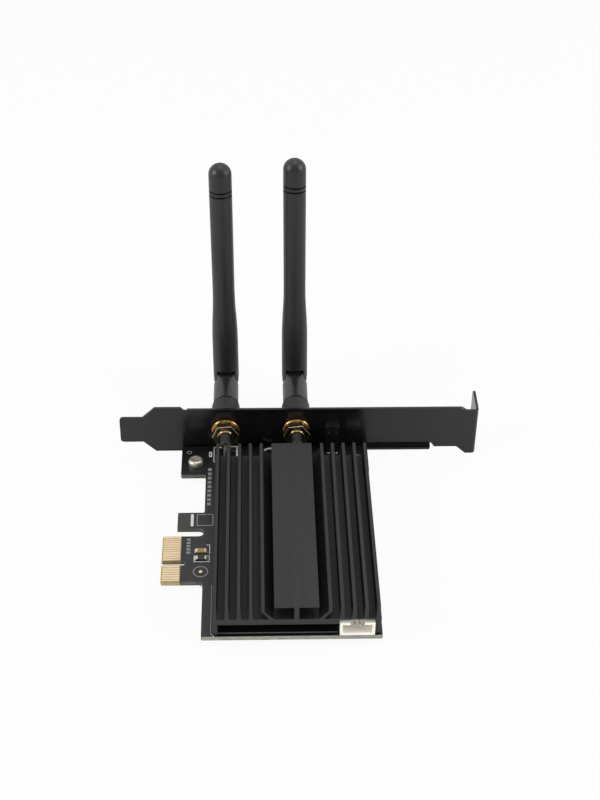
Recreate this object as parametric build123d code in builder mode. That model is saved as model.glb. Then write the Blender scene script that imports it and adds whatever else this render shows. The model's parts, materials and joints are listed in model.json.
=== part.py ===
from build123d import *
import os
from math import cos, radians, sin, sqrt, tan

# A wireless network card for a PCI Express slot: an edge-connector board under a finned heatsink,
# a folded slot bracket, and two antennas that swivel on their jacks and fold at a knuckle.
# X runs along the bracket, Y out through it, Z up from the board's component face.
# The origin is on the card edge, at the centre line of the connector's key notch.

os.makedirs("parts", exist_ok=True)

# Circuit board
board_thickness = 1.57
board_near = -30.8
board_left_margin = 3.25
board_right_margin = 0.55
board_corner = 0.5
bracket_gap = 0.75
screw_tab_edge = 4.7
screw_tab_end = 41.1
hook_edge = 4.4
hook_far = 22.8

# Edge connector, one lane
key_width = 1.9
key_depth = 7.6
far_fingers = 10.95
near_fingers = 7.2
latch_notch = 3.6
pad_pitch = 1.0
pad_width = 0.7
pad_length = 5.15
pad_thickness = 0.05
far_pads = 11
near_pads = 7
key_pad_offset = 1.5
bevel_length = 0.5
bevel_depth = 0.3

# Slot bracket, full height
bracket_face = 57.15
bracket_length = 120.02
tongue_tip = -15.9
sheet = 0.86
blade_width = 18.42
tongue_width = 10.19
tongue_length = 7.6
tongue_corner = 1.2
lip_start = 6.7
lip_from_end = 6.5
lip_depth = 0.9
lip_slope = 2.4
relief_depth = 1.1
flange_from_end = 15.62
flange_depth = 1.5
flange_relief = 0.25
ear_flange_depth = 2.85
flange_corner = 0.8
flange_notch = 1.5
flange_notch_height = 2.7
flange_notch_flat = 0.3
plain_edge_rise = 1.0
end_low_drop = 2.0
end_high_drop = 1.9
end_slope = 3.2
end_width = 3.4
bend_radius = 0.4
tab_depth = 11.43
tab_corner = 1.2
screw_slot = 4.42
screw_slot_from_face = 5.1
screw_slot_depth = 7.4
ear_width = 8.4
ear_reach = 3.9
ear_corner = 2.0

# Screws that hold the board to the bracket's ears
bracket_screw_y = 46.7
bracket_screw_from_tab_edge = 4.8
bracket_screw_from_right = 3.6
bracket_thread = 3.0
bracket_head = 5.0
bracket_head_height = 2.1
bracket_screw_length = 3.4
screw_hole_play = 0.2
recess_width = 0.7
recess_depth = 0.9

# Heatsink extrusion
sink_centre = 41.1
sink_width = 49.9
sink_setback = 0.5
sink_far = 42.85
sink_top = 11.95
sink_floor = 6.55
cavity_height = 4.34
leg_thickness = 1.55
fin_count = 5
fin_inner = 9.86
fin_outer_inset = 0.97
fin_tip = 1.0
fin_root = 1.35
foot_shift = 2.6
foot_rise = 3.1
rail_width = 13.1
rail_thickness = 0.65
web_thickness = 1.46
header_window_top = 6.14
header_play = 0.2

# Screws and spacers under the heatsink, inset from its sides
sink_screw_inset = 5.55
sink_screw_far = 27.0
sink_screw_near = -17.5
sink_thread = 2.0
sink_thread_depth = 1.8
sink_head = 3.8
sink_head_height = 1.3
spacer_diameter = 4.0

# Side-entry header at the near right corner
header_right_gap = 0.25
header_depth = 7.6
header_height = 5.1
header_wall = 0.8
header_floor = 1.0
header_back = 2.0
header_window = 4.1
header_window_depth = 2.6
pin_count = 6
pin_pitch = 1.5
pin_margin = 1.45
pin_side = 0.5
pin_height = 2.5
pin_front = 1.6
pin_tail = 1.2

# Radio module on its socket, under the heatsink
module_width = 22.0
module_length = 30.0
module_thickness = 0.8
module_low = 1.7
module_near = 5.0
module_notch = 1.75
module_insertion = 4.0
socket_depth = 8.0
socket_height = 3.3
socket_play = 0.05
shield_width = 17.0
shield_length = 17.0
shield_height = 1.4
shield_from_end = 8.0
standoff_diameter = 5.0
standoff_thread = 2.0
module_head = 4.4
module_head_height = 0.8
pad_inset = 0.8

# Indicator beside the jacks
lamp_x = 55.05
lamp_z = 8.1
lamp_holder_width = 4.7
lamp_holder_height = 10.4
lamp_holder_corner = 0.8
lamp_holder_gap = 0.2
lamp_holder_depth = 3.2
lamp_holder_back = 0.6
lamp_diameter = 3.0
lamp_dome = 1.1
lamp_hole_play = 0.4
lamp_reach = 1.0
lead_pitch = 2.54
lead_side = 0.5
lead_bend = 0.7

# Chip parts between the connector and the heatsink
near_chip_from_sink = 3.85
near_chip_y = 1.95
far_chip_from_sink = 3.95
far_chip_y = 5.2
chip_length = 3.2
chip_width = 1.55
chip_height = 0.6
chip_cap = 0.5
chip_cap_rise = 0.06

# Jacks: bulkhead connectors with a crimped cable
jack_z = 6.95
jack_hole = 6.5
jack_thread = 6.2
jack_bore = 4.2
jack_flats = 8.0
jack_hex_depth = 2.4
jack_hex_turn = -6.0
jack_neck = 5.0
jack_neck_depth = 0.5
jack_reach = 8.9
jack_contact = 0.9
washer_diameter = 9.5
washer_thickness = 1.6
washer_chamfer = 0.5
nut_thickness = 2.0
insulator_recess = 1.2
sleeve_diameter = 3.4
sleeve_length = 4.2
cable_diameter = 1.13
cable_straight = 1.6
cable_arc_share = 0.45
plug_diameter = 2.0
plug_height = 1.2
plug_tail = 0.75

# Antennas
collar_gap = 0.4
collar_diameter = 9.45
collar_length = 9.1
collar_wall = 1.5
collar_ribs = 28
knurl_depth = 0.22
collar_band = 0.9
thread_play = 0.1
insert_flange = 5.9
insert_flange_depth = 0.8
insert_gap = 0.15
spigot_diameter = 5.4
spigot_play = 0.05
spigot_seat = 2.0
insert_bore = 1.6
base_gap = 0.3
base_diameter = 8.5
base_chamfer = 0.35
knuckle_reach = 27.4
tongue_thickness = 6.0
tongue_radius = 3.6
fork_slot = 6.15
fork_gap = 0.9
shoulder_gap = 0.32
hinge_pin = 2.2
pin_play = 0.05
stick_length = 80.85
fork_diameter = 8.78
fork_straight = 15.3
stick_waist = 7.42
waist_from_pin = 35.2
stick_tip = 7.53
groove_from_tip = 8.9
groove_spacing = 1.5
groove_width = 0.6
groove_depth = 0.35

# Where the jacks are, and how each antenna stands: degrees of backward lean, and of swivel about the jack
left_jack_x = 19.35
right_jack_x = 43.15
left_lean = 6.1
right_lean = 9.0
left_swivel = -0.6
right_swivel = -0.3

# Derived places
antenna_sides = {
    "left": (left_jack_x, left_lean, left_swivel),
    "right": (right_jack_x, right_lean, right_swivel),
}
board_far = bracket_face - sheet - bracket_gap
finger_far = key_width / 2 + far_fingers
finger_near = -key_width / 2 - near_fingers
blade_inner = bracket_face - sheet
blade_low = -board_thickness - sheet
blade_high = blade_low + blade_width
bracket_right = tongue_tip + bracket_length
lip_end = bracket_right - lip_from_end
flange_end = bracket_right - flange_from_end
sink_near = board_near + sink_setback
sink_left = sink_centre - sink_width / 2
sink_right = sink_centre + sink_width / 2
board_edge = sink_left - board_left_margin
board_right = sink_right + board_right_margin
header_width = (pin_count - 1) * pin_pitch + 2 * pin_margin
cavity_right = sink_right - leg_thickness
header_centre = cavity_right - header_right_gap - header_width / 2
module_end = module_near + module_length
module_high = module_low + module_thickness
shield_top = module_high + shield_height
bracket_screws_at = [
    (screw_tab_edge + bracket_screw_from_tab_edge, bracket_screw_y),
    (board_right - bracket_screw_from_right, bracket_screw_y),
]
sink_screws_at = [
    (x, y)
    for x in (sink_left + sink_screw_inset, sink_right - sink_screw_inset)
    for y in (sink_screw_near, sink_screw_far)
]


def save(piece, name):
    """Label a finished piece and write it to its own file."""
    piece.part.label = name
    export_step(piece.part, f"parts/{name}.step")


def cross_recess(top):
    """Cut a cross recess down from a screw head whose top lies on the given plane."""
    with BuildSketch(top) as cross:
        for turn in (0, 90):
            Rectangle(bracket_head / 2, recess_width, rotation=turn)
    extrude(cross.sketch, amount=-recess_depth, mode=Mode.SUBTRACT)


# Board: one outline with the screw tab, the latch hook and the connector fingers
with BuildPart() as board:
    with BuildSketch(Plane.XY.offset(-board_thickness)) as outline:
        with BuildLine():
            Polyline(
                (board_edge, board_near),
                (board_right, board_near),
                (board_right, board_far),
                (screw_tab_edge, board_far),
                (screw_tab_edge, screw_tab_end),
                (board_edge, screw_tab_end),
                (board_edge, hook_far),
                (hook_edge, hook_far),
                (hook_edge, finger_far),
                (0, finger_far),
                (0, finger_near),
                (board_edge, finger_near),
                close=True,
            )
        make_face()
        fillet(outline.vertices(), board_corner)
        with Locations((0, finger_far + latch_notch / 2)):
            SlotOverall(2 * board_edge, latch_notch, mode=Mode.SUBTRACT)
        SlotOverall(2 * key_depth, key_width, mode=Mode.SUBTRACT)
        with Locations(*bracket_screws_at):
            Circle((bracket_thread + screw_hole_play) / 2, mode=Mode.SUBTRACT)
        with Locations(*sink_screws_at):
            Circle((sink_thread + screw_hole_play) / 2, mode=Mode.SUBTRACT)
    extrude(amount=board_thickness)
    with BuildSketch(Plane.XZ.offset(-finger_far)):
        with BuildLine():
            Polyline((0, 0), (bevel_length, 0), (0, -bevel_depth), close=True)
        make_face()
        with BuildLine():
            Polyline(
                (0, -board_thickness),
                (bevel_length, -board_thickness),
                (0, bevel_depth - board_thickness),
                close=True,
            )
        make_face()
    extrude(amount=finger_far - finger_near, mode=Mode.SUBTRACT)
save(board, "board")

# Gold fingers on both faces, in two groups beside the key
finger_rows = [key_pad_offset + i * pad_pitch for i in range(far_pads)]
finger_rows += [-key_pad_offset - i * pad_pitch for i in range(near_pads)]
with BuildPart() as fingers:
    for face in (0, -board_thickness - pad_thickness):
        with BuildSketch(Plane.XY.offset(face)):
            with Locations(*[(bevel_length + pad_length / 2, y) for y in finger_rows]):
                Rectangle(pad_length, pad_width)
        extrude(amount=pad_thickness)
save(fingers, "edge_contacts")

# Heatsink: one extruded section, straight cut at both ends
fin_pitch = (sink_width / 2 - fin_outer_inset - fin_inner) / (fin_count - 1)
fin_places = [fin_inner + i * fin_pitch for i in range(fin_count)]
base_thickness = sink_floor - cavity_height
with BuildPart() as heatsink:
    with BuildSketch(Plane.XZ.offset(-sink_far)):
        with Locations((sink_centre, cavity_height + base_thickness / 2)):
            Rectangle(sink_width, base_thickness)
        for side in (-1, 1):
            with Locations((sink_centre + side * (sink_width - leg_thickness) / 2, sink_floor / 2)):
                Rectangle(leg_thickness, sink_floor)
            for place in fin_places[1:]:
                x = sink_centre + side * place
                with BuildLine():
                    Polyline(
                        (x - fin_root / 2, sink_floor),
                        (x + fin_root / 2, sink_floor),
                        (x + fin_tip / 2, sink_top),
                        (x - fin_tip / 2, sink_top),
                        close=True,
                    )
                make_face()
            # The innermost fins stand on feet that slant in towards the rail
            outer = sink_centre + side * (fin_inner + fin_tip / 2)
            inner = sink_centre + side * (fin_inner - fin_tip / 2)
            foot_outer = sink_centre + side * (fin_inner + fin_root / 2 - foot_shift)
            foot_inner = sink_centre + side * (fin_inner - fin_root / 2 - foot_shift)
            with BuildLine():
                Polyline(
                    (outer, sink_top),
                    (outer, sink_floor + foot_rise),
                    (foot_outer, sink_floor),
                    (foot_inner, sink_floor),
                    (inner, sink_floor + foot_rise),
                    (inner, sink_top),
                    close=True,
                )
            make_face()
        # The middle rail is a flat plate on one web
        with Locations((sink_centre, (sink_floor + sink_top) / 2)):
            Rectangle(web_thickness, sink_top - sink_floor)
        with Locations((sink_centre, sink_top - rail_thickness / 2)):
            Rectangle(rail_width, rail_thickness)
    extrude(amount=sink_far - sink_near)
    with BuildSketch(Plane.XY.offset(cavity_height)):
        with Locations(*sink_screws_at):
            Circle(sink_thread / 2)
    extrude(amount=sink_thread_depth, mode=Mode.SUBTRACT)
    with BuildSketch(Plane.XY.offset(cavity_height)):
        with Locations((header_centre, board_near)):
            Rectangle(
                header_width + 2 * header_play,
                2 * (header_depth + header_play),
            )
    extrude(amount=header_window_top - cavity_height, mode=Mode.SUBTRACT)
save(heatsink, "heatsink")

with BuildPart() as spacers:
    with BuildSketch():
        with Locations(*sink_screws_at):
            Circle(spacer_diameter / 2)
            Circle((sink_thread + screw_hole_play) / 2, mode=Mode.SUBTRACT)
    extrude(amount=cavity_height)
save(spacers, "heatsink_spacers")

with BuildPart() as sink_screws:
    with BuildSketch(Plane.XY.offset(-board_thickness - sink_head_height)):
        with Locations(*sink_screws_at):
            Circle(sink_head / 2)
    extrude(amount=sink_head_height)
    with BuildSketch(Plane.XY.offset(-board_thickness)):
        with Locations(*sink_screws_at):
            Circle(sink_thread / 2)
    extrude(amount=board_thickness + cavity_height + sink_thread_depth)
    head_rims = sink_screws.edges().group_by(Axis.Z)[0]
    chamfer(head_rims, sink_head_height / 3)
save(sink_screws, "heatsink_screws")

# Bracket: a blade with a tongue, a bent screw tab, a top lip, and a flange that steps down under the
# board, where it has two ears
centre_z = blade_low + blade_width / 2
taper = (blade_width - tongue_width) / 2
wide_start = tongue_tip + tongue_length + taper
end_high = blade_high - end_high_drop
end_low = blade_low - end_low_drop
plain_low = blade_low + plain_edge_rise
end_start = bracket_right - end_width
lip_corner = lip_end + lip_slope
fold_size = sheet + bend_radius
fold_low = blade_low + fold_size
plain_fold = plain_low + fold_size
fold_high = blade_high - fold_size


def fold(start, end, edge, up, depth):
    """Add an edge of the blade, folded over towards the board with a round bend."""
    bend_y = blade_inner - bend_radius
    bend_z = edge - up * fold_size
    with BuildSketch(Plane.YZ.offset(start)) as section:
        with BuildLine():
            Line((bracket_face, bend_z), (blade_inner, bend_z))
            TangentArc((blade_inner, bend_z), (bend_y, edge - up * sheet), tangent=(0, up))
            Polyline(
                (bend_y, edge - up * sheet),
                (blade_inner - depth, edge - up * sheet),
                (blade_inner - depth, edge),
                (bend_y, edge),
            )
            TangentArc((bracket_face, bend_z), (bend_y, edge), tangent=(0, up))
        make_face()
    extrude(section.sketch, amount=end - start)


with BuildPart() as bracket:
    with BuildSketch(Plane.XZ.offset(-bracket_face)):
        with BuildLine():
            Polyline(
                (tongue_tip, centre_z - tongue_width / 2),
                (tongue_tip + tongue_length, centre_z - tongue_width / 2),
                (wide_start, blade_low),
                (lip_start, blade_low),
                (lip_start, fold_low),
                (board_right, fold_low),
                (board_right, plain_fold),
                (flange_end, plain_fold),
                (flange_end, blade_low + flange_notch_height),
                (flange_end + flange_notch_flat, blade_low + flange_notch_height),
                (flange_end + flange_notch, plain_low),
                (end_start - end_slope, plain_low),
                (end_start, end_low),
                (bracket_right, end_low),
                (bracket_right, end_high),
                (lip_corner, end_high),
                (lip_corner, fold_high),
                (lip_start, fold_high),
                (lip_start - relief_depth, blade_high - relief_depth),
                (lip_start - 2 * relief_depth, blade_high),
                (wide_start, blade_high),
                (tongue_tip + tongue_length, centre_z + tongue_width / 2),
                (tongue_tip, centre_z + tongue_width / 2),
                close=True,
            )
        make_face()
    extrude(amount=sheet)
    tip_corners = bracket.edges().filter_by(Axis.Y).group_by(Axis.X)[0]
    fillet(tip_corners, tongue_corner)
    fold(lip_start, lip_corner, blade_high, 1, lip_depth)
    fold(lip_start, board_right, blade_low, -1, ear_flange_depth)
    fold(board_right + flange_relief, flange_end, plain_low, -1, flange_depth)
    flange_edge = blade_inner - flange_depth
    flange_corners = bracket.edges().filter_by(Axis.Z).filter_by(
        lambda edge: abs(edge.center().Y - flange_edge) < sheet / 4 and edge.center().X > flange_end - sheet
    )
    fillet(flange_corners, flange_corner)
    # The lip's end is cut on a slope down to the tab's height
    with BuildSketch(Plane.XZ.offset(-bracket_face)):
        with BuildLine():
            Polyline((lip_end, blade_high), (lip_corner, blade_high), (lip_corner, end_high), close=True)
        make_face()
    extrude(amount=sheet + lip_depth, mode=Mode.SUBTRACT)
    # Two ears under the board take its screws
    with BuildSketch(Plane.XY.offset(blade_low)) as ears:
        for x, y in bracket_screws_at:
            with Locations((x, y - ear_reach)):
                Rectangle(
                    ear_width,
                    blade_inner - bend_radius - y + ear_reach,
                    align=(Align.CENTER, Align.MIN),
                )
        fillet(ears.vertices().group_by(Axis.Y)[0], ear_corner)
        with Locations(*bracket_screws_at):
            Circle(bracket_thread / 2, mode=Mode.SUBTRACT)
    extrude(amount=sheet)
    # Screw tab, bent outwards at the right end, with its slot open on the solder side
    with BuildSketch(Plane.YZ.offset(bracket_right - sheet)) as tab:
        with Locations((blade_inner + tab_depth / 2, (end_low + end_high) / 2)):
            Rectangle(tab_depth, end_high - end_low)
        fillet(tab.vertices().group_by(Axis.X)[-1], tab_corner)
        with Locations((bracket_face + screw_slot_from_face, end_low)):
            SlotOverall(2 * screw_slot_depth, screw_slot, rotation=90, mode=Mode.SUBTRACT)
    extrude(amount=sheet)
    outside = (bracket_right, blade_inner)
    inside = (bracket_right - sheet, bracket_face)
    for (x, y), radius in ((outside, fold_size), (inside, bend_radius)):
        tab_bend = bracket.edges().filter_by(Axis.Z).filter_by(
            lambda edge: abs(edge.center().X - x) < sheet / 4 and abs(edge.center().Y - y) < sheet / 4
        )
        fillet(tab_bend, radius)
    # Holes for the jacks and the indicator
    with BuildSketch(Plane.XZ.offset(-bracket_face)):
        with Locations(*[(x, jack_z) for x, _, _ in antenna_sides.values()]):
            Circle(jack_hole / 2)
        with Locations((lamp_x, lamp_z)):
            Circle(lamp_diameter / 2 + lamp_hole_play)
    extrude(amount=sheet, mode=Mode.SUBTRACT)
save(bracket, "bracket")

with BuildPart() as bracket_screws:
    with BuildSketch(Plane.XY.offset(-bracket_screw_length)):
        with Locations(*bracket_screws_at):
            Circle(bracket_thread / 2)
    extrude(amount=bracket_screw_length)
    with BuildSketch():
        with Locations(*bracket_screws_at):
            Circle(bracket_head / 2)
    extrude(amount=bracket_head_height)
    fillet(bracket_screws.edges().group_by(Axis.Z)[-1], bracket_head_height / 2)
    for place in bracket_screws_at:
        cross_recess(Plane((*place, bracket_head_height)))
save(bracket_screws, "bracket_screws")

# Header housing: an open box on its side, with a window in its top wall
header_front = board_near
header_pin_xs = [header_centre + (i - (pin_count - 1) / 2) * pin_pitch for i in range(pin_count)]
with BuildPart() as housing:
    with BuildSketch(Plane.XZ.offset(-header_front - header_depth)):
        with Locations((header_centre, header_height / 2)):
            Rectangle(header_width, header_height)
    extrude(amount=header_depth)
    with BuildSketch(Plane.XZ.offset(-header_front - header_depth + header_back)):
        with Locations((header_centre, (header_height - header_wall + header_floor) / 2)):
            Rectangle(header_width - 2 * header_wall, header_height - header_wall - header_floor)
    extrude(amount=header_depth - header_back, mode=Mode.SUBTRACT)
    with BuildSketch(Plane.XY.offset(header_height)):
        with Locations((header_centre, header_front)):
            Rectangle(header_window, 2 * header_window_depth)
    extrude(amount=-header_wall, mode=Mode.SUBTRACT)
    with BuildSketch(Plane.XZ.offset(-header_front - header_depth)):
        with Locations(*[(x, pin_height) for x in header_pin_xs]):
            Rectangle(pin_side, pin_side)
    extrude(amount=header_back, mode=Mode.SUBTRACT)
save(housing, "header_housing")

# Header pins: straight through the back wall, then down to the board
with BuildPart() as pins:
    with BuildSketch(Plane.YZ.offset(header_pin_xs[0] - pin_side / 2)):
        tail_y = header_front + header_depth + pin_tail
        with BuildLine():
            Polyline(
                (header_front + pin_front, pin_height - pin_side / 2),
                (tail_y - pin_side, pin_height - pin_side / 2),
                (tail_y - pin_side, 0),
                (tail_y, 0),
                (tail_y, pin_height + pin_side / 2),
                (header_front + pin_front, pin_height + pin_side / 2),
                close=True,
            )
        make_face()
    extrude(amount=pin_side)
    first_pin = pins.part
    for i in range(1, pin_count):
        add(Pos(i * pin_pitch, 0, 0) * first_pin)
save(pins, "header_pins")

# Radio module: a small board in an edge socket, held down by one screw on a standoff
with BuildPart() as module_board:
    with BuildSketch(Plane.XY.offset(module_low)):
        with Locations((sink_centre, module_near)):
            Rectangle(module_width, module_length, align=(Align.CENTER, Align.MIN))
        with Locations((sink_centre, module_end)):
            Circle(module_notch, mode=Mode.SUBTRACT)
    extrude(amount=module_thickness)
save(module_board, "module_board")

with BuildPart() as socket:
    with BuildSketch():
        with Locations((sink_centre, module_near + module_insertion)):
            Rectangle(module_width, socket_depth, align=(Align.CENTER, Align.MAX))
    extrude(amount=socket_height)
    with BuildSketch(Plane.XY.offset(module_low - socket_play)):
        with Locations((sink_centre, module_near)):
            Rectangle(module_width, module_insertion, align=(Align.CENTER, Align.MIN))
    extrude(amount=module_thickness + 2 * socket_play, mode=Mode.SUBTRACT)
save(socket, "module_socket")

shield_far = module_end - shield_from_end
with BuildPart() as shield:
    with BuildSketch(Plane.XY.offset(module_high)):
        with Locations((sink_centre, shield_far)):
            Rectangle(shield_width, shield_length, align=(Align.CENTER, Align.MAX))
    extrude(amount=shield_height)
    fillet(shield.edges().filter_by(Axis.Z), board_corner)
save(shield, "module_shield")

with BuildPart() as thermal_pad:
    with BuildSketch(Plane.XY.offset(shield_top)):
        with Locations((sink_centre, shield_far - pad_inset)):
            Rectangle(
                shield_width - 2 * pad_inset,
                shield_length - 2 * pad_inset,
                align=(Align.CENTER, Align.MAX),
            )
    extrude(amount=cavity_height - shield_top)
save(thermal_pad, "thermal_pad")

with BuildPart() as standoff:
    with BuildSketch():
        with Locations((sink_centre, module_end)):
            Circle(standoff_diameter / 2)
            Circle(standoff_thread / 2, mode=Mode.SUBTRACT)
    extrude(amount=module_low)
save(standoff, "module_standoff")

with BuildPart() as module_screw:
    with BuildSketch(Plane.XY.offset(module_high)):
        with Locations((sink_centre, module_end)):
            Circle(module_head / 2)
    extrude(amount=module_head_height)
    chamfer(module_screw.edges().group_by(Axis.Z)[-1], module_head_height / 3)
    with BuildSketch():
        with Locations((sink_centre, module_end)):
            Circle(standoff_thread / 2)
    extrude(amount=module_high)
save(module_screw, "module_screw")

# Indicator: a holder on the board, a lamp through the bracket, and two leads bent down behind it
holder_far = blade_inner - lamp_holder_gap
holder_near = holder_far - lamp_holder_depth
lamp_back = holder_near + lamp_holder_back
lamp_tip = bracket_face + lamp_reach
lead_xs = [lamp_x - lead_pitch / 2, lamp_x + lead_pitch / 2]
with BuildPart() as lamp_holder:
    with BuildSketch(Plane.XZ.offset(-holder_far)) as holder_face:
        with Locations((lamp_x, lamp_holder_height / 2)):
            Rectangle(lamp_holder_width, lamp_holder_height)
        fillet(holder_face.vertices().group_by(Axis.Y)[-1], lamp_holder_corner)
    extrude(amount=lamp_holder_depth)
    with BuildSketch(Plane.XZ.offset(-holder_far)):
        with Locations((lamp_x, lamp_z)):
            Circle(lamp_diameter / 2)
    extrude(amount=lamp_holder_depth - lamp_holder_back, mode=Mode.SUBTRACT)
    with BuildSketch(Plane.XZ.offset(-lamp_back)):
        with Locations(*[(x, lamp_z) for x in lead_xs]):
            Rectangle(lead_side, lead_side)
    extrude(amount=lamp_holder_back, mode=Mode.SUBTRACT)
save(lamp_holder, "lamp_holder")

with BuildPart() as lamp:
    with BuildSketch(Plane.XZ.offset(-lamp_tip)):
        with Locations((lamp_x, lamp_z)):
            Circle(lamp_diameter / 2)
    extrude(amount=lamp_tip - lamp_back)
    fillet(lamp.edges().group_by(Axis.Y)[-1], lamp_dome)
save(lamp, "lamp")

lead_drop = holder_near - lead_bend
with BuildPart() as lamp_leads:
    with BuildSketch(Plane.YZ.offset(lead_xs[0] - lead_side / 2)):
        with BuildLine():
            Polyline(
                (lamp_back, lamp_z - lead_side / 2),
                (lead_drop, lamp_z - lead_side / 2),
                (lead_drop, 0),
                (lead_drop - lead_side, 0),
                (lead_drop - lead_side, lamp_z + lead_side / 2),
                (lamp_back, lamp_z + lead_side / 2),
                close=True,
            )
        make_face()
    extrude(amount=lead_side)
    first_lead = lamp_leads.part
    add(Pos(lead_pitch, 0, 0) * first_lead)
save(lamp_leads, "lamp_leads")

# Chip parts: a body between two slightly taller metal caps
chip_places = [(sink_left - near_chip_from_sink, near_chip_y), (sink_left - far_chip_from_sink, far_chip_y)]
with BuildPart() as chips:
    with BuildSketch():
        with Locations(*chip_places):
            Rectangle(chip_length, chip_width)
    extrude(amount=chip_height - chip_cap_rise)
    with BuildSketch():
        with Locations(*chip_places):
            with GridLocations(chip_length - chip_cap, 0, 2, 1):
                Rectangle(chip_cap, chip_width)
    extrude(amount=chip_height)
save(chips, "chip_parts")


def rod(plane, diameter, length, start=0.0):
    """Add a round rod along a plane's normal, from a distance along it."""
    with BuildSketch(plane.offset(start)) as disc:
        Circle(diameter / 2)
    extrude(disc.sketch, amount=length)


def bore(plane, diameter, length, start=0.0):
    """Cut a round bore along a plane's normal, from a distance along it."""
    with BuildSketch(plane.offset(start)) as disc:
        Circle(diameter / 2)
    extrude(disc.sketch, amount=length, mode=Mode.SUBTRACT)


# Places along a jack's axis, from the origin outwards
washer_near = blade_inner - washer_thickness
hex_near = washer_near - jack_hex_depth
neck_near = hex_near - jack_neck_depth
jack_end = bracket_face + jack_reach
nut_far = bracket_face + nut_thickness
collar_near = nut_far + collar_gap
collar_far = collar_near + collar_length
collar_floor = collar_far - collar_wall
flange_far = collar_floor - insert_gap
base_near = collar_far + base_gap
pin_y = bracket_face + knuckle_reach
shoulder = pin_y - fork_diameter / 2 - shoulder_gap
sleeve_near = neck_near - sleeve_length


def jack(side, x):
    """The pieces of one jack, from the crimped cable sleeve to the threaded barrel."""
    axis = Plane(origin=(x, 0, jack_z), x_dir=(1, 0, 0), z_dir=(0, 1, 0))
    with BuildPart() as body:
        rod(axis, jack_neck, jack_neck_depth, neck_near)
        with BuildSketch(axis.offset(hex_near)):
            RegularPolygon(jack_flats / 2, 6, major_radius=False, rotation=jack_hex_turn)
        extrude(amount=jack_hex_depth)
        rod(axis, jack_thread, jack_end - washer_near, washer_near)
        bore(axis, jack_bore, jack_end - washer_near, washer_near)
        bore(axis, jack_contact, washer_near - neck_near, neck_near)
    save(body, f"{side}_jack")
    with BuildPart() as washer:
        rod(axis, washer_diameter, washer_thickness, washer_near)
        bore(axis, jack_hole, washer_thickness, washer_near)
        outer_rim = washer.edges().filter_by(GeomType.CIRCLE).group_by(Axis.Y)[0].sort_by(SortBy.RADIUS)[-1]
        chamfer(outer_rim, washer_chamfer)
    save(washer, f"{side}_jack_washer")
    with BuildPart() as nut:
        with BuildSketch(axis.offset(bracket_face)):
            RegularPolygon(jack_flats / 2, 6, major_radius=False)
            Circle(jack_thread / 2 + thread_play, mode=Mode.SUBTRACT)
        extrude(amount=nut_thickness)
    save(nut, f"{side}_jack_nut")
    with BuildPart() as insulator:
        rod(axis, jack_bore, jack_end - insulator_recess - washer_near, washer_near)
        bore(axis, jack_contact, jack_end - washer_near, washer_near)
    save(insulator, f"{side}_jack_insulator")
    with BuildPart() as contact:
        rod(axis, jack_contact, jack_end - neck_near, neck_near)
    save(contact, f"{side}_jack_contact")
    with BuildPart() as sleeve:
        rod(axis, sleeve_diameter, sleeve_length, sleeve_near)
        chamfer(sleeve.edges().group_by(Axis.Y)[0], sleeve_diameter / 6)
    save(sleeve, f"{side}_cable_sleeve")


# The cables run from the sleeves under the heatsink to small plugs on the module
cable_entry = module_high + plug_height - cable_diameter / 2
cable_drop = sleeve_near - cable_straight
cable_routes = {
    "left": [
        (left_jack_x, sleeve_near, jack_z),
        (left_jack_x, cable_drop, jack_z),
        (19.4, 42.9, 2.6),
        (20.0, 40.2, 0.82),
        (22.4, 37.0, 0.72),
        (25.6, 34.4, 1.52),
        (28.7, 32.7, cable_entry),
        (32.3, 32.0, cable_entry),
    ],
    "right": [
        (right_jack_x, sleeve_near, jack_z),
        (right_jack_x, cable_drop, jack_z),
        (43.5, 43.1, 3.0),
        (44.8, 40.6, 1.9),
        (46.3, 38.2, 2.64),
        (47.4, 35.6, cable_entry),
        (48.0, 32.9, cable_entry),
    ],
}


def cable(side):
    """One coaxial cable on straight runs joined by tangent arcs, with its plug on the module."""
    route = [Vector(*point) for point in cable_routes[side]]
    radii = []
    for before, corner, after in zip(route, route[1:], route[2:]):
        run_in, run_out = corner - before, after - corner
        half_turn = radians(run_in.get_angle(run_out)) / 2
        radii.append(cable_arc_share * min(run_in.length, run_out.length) / tan(half_turn))
    print(side, "cable arc radii", [round(radius, 2) for radius in radii])
    with BuildPart() as lead:
        with BuildLine() as path:
            FilletPolyline(*route, radius=radii)
        run = path.wires()[0]
        with BuildSketch(Plane(origin=run @ 0, z_dir=run % 0)) as section:
            Circle(cable_diameter / 2)
        sweep()
    print(side, "cable volume over section times length", lead.part.volume / section.sketch.area / run.length)
    save(lead, f"{side}_cable")
    end = route[-1]
    heading = (route[-1] - route[-2]).normalized()
    centre = end + heading * (plug_diameter / 2 + plug_tail)
    with BuildPart() as plug:
        with BuildSketch(Plane((centre.X, centre.Y, module_high))):
            Circle(plug_diameter / 2)
        extrude(amount=plug_height)
        with BuildSketch(Plane((end.X, end.Y, module_high), x_dir=heading)):
            Rectangle(
                plug_tail + plug_diameter / 2,
                cable_diameter,
                align=(Align.MIN, Align.CENTER),
            )
        extrude(amount=plug_height)
    save(plug, f"{side}_cable_plug")


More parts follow.
